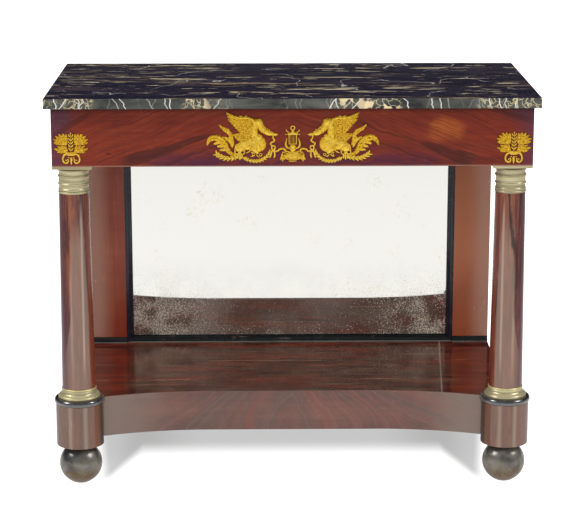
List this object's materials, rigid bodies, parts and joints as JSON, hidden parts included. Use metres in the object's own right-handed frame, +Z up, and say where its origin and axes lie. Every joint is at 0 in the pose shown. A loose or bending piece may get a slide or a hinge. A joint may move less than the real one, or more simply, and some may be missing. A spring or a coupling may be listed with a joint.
{
  "type": "pier table",
  "caption": "Neoclassical mahogany pier table: marble slab on a frieze with gilt mounts, turned columns with brass caps, mirrored back and low curved shelf on ball feet.",
  "frame": {"origin": "centre of the bounding box on the floor, under the middle of the slab", "axes": "+X along the slab to the right of someone facing the front, -Y out of the front, +Y to the wall, +Z up"},
  "size_m": [1.12, 0.58, 0.924],
  "materials": {
    "marble": "polished black marble with gold and white veins",
    "mahogany_veneer": "flame mahogany veneer, french polished",
    "mahogany_turned": "mahogany, french polished",
    "mahogany_shelf": "mahogany, polished, with fine scratches",
    "mahogany_pilaster": "mahogany, polished",
    "ebonised_wood": "ebonised, semi-gloss",
    "brass_fitting": "old lacquered brass, satin",
    "gilt_mount": "gilt, chased and burnished",
    "dark_foot": "ebonised and bronzed, polished",
    "mirror_glass": "old silvered plate with foxing",
    "screw_steel": "dull steel",
    "secondary_wood": "pine and poplar, unfinished, aged"
  },
  "bodies": {
    "root": {"abacus_left": "brass_fitting", "abacus_right": "brass_fitting", "apron_core": "secondary_wood", "apron_veneer": "mahogany_veneer", "backboard_screws": "screw_steel", "base_collar_left": "brass_fitting", "base_collar_right": "brass_fitting", "black_ring_left": "ebonised_wood", "black_ring_right": "ebonised_wood", "capital_left": "brass_fitting", "capital_right": "brass_fitting", "column_block_left": "secondary_wood", "column_block_right": "secondary_wood", "column_block_screws": "screw_steel", "column_shaft_left": "mahogany_turned", "column_shaft_right": "mahogany_turned", "corner_mount_left": "gilt_mount", "corner_mount_right": "gilt_mount", "frieze_back_rail": "secondary_wood", "frieze_braces": "secondary_wood", "frieze_front_rail": "secondary_wood", "frieze_glue_blocks": "secondary_wood", "frieze_side_left": "mahogany_veneer", "frieze_side_right": "mahogany_veneer", "frieze_veneer": "mahogany_veneer", "front_foot_left": "dark_foot", "front_foot_right": "dark_foot", "lyre_mount": "gilt_mount", "marble_slab": "marble", "mirror_backboard": "secondary_wood", "mirror_head_rail": "secondary_wood", "mirror_moulding_bottom": "ebonised_wood", "mirror_moulding_left": "ebonised_wood", "mirror_moulding_right": "ebonised_wood", "mirror_moulding_top": "ebonised_wood", "mirror_plate": "mirror_glass", "mount_pins": "gilt_mount", "pilaster_foot_moulding_left": "ebonised_wood", "pilaster_foot_moulding_right": "ebonised_wood", "pilaster_left": "mahogany_pilaster", "pilaster_right": "mahogany_pilaster", "pilaster_screws": "screw_steel", "plinth_left": "mahogany_turned", "plinth_right": "mahogany_turned", "plinth_screws": "screw_steel", "rear_foot_block_left": "secondary_wood", "rear_foot_block_right": "secondary_wood", "rear_foot_left": "dark_foot", "rear_foot_right": "dark_foot", "rear_stile_left": "secondary_wood", "rear_stile_right": "secondary_wood", "shelf_back_rail": "secondary_wood", "shelf_block_left": "secondary_wood", "shelf_block_right": "secondary_wood", "shelf_board": "mahogany_shelf", "shelf_glue_blocks": "secondary_wood", "shelf_side_left": "mahogany_veneer", "shelf_side_right": "mahogany_veneer", "swan_mount_left": "gilt_mount", "swan_mount_right": "gilt_mount"}
  },
  "joints": []
}
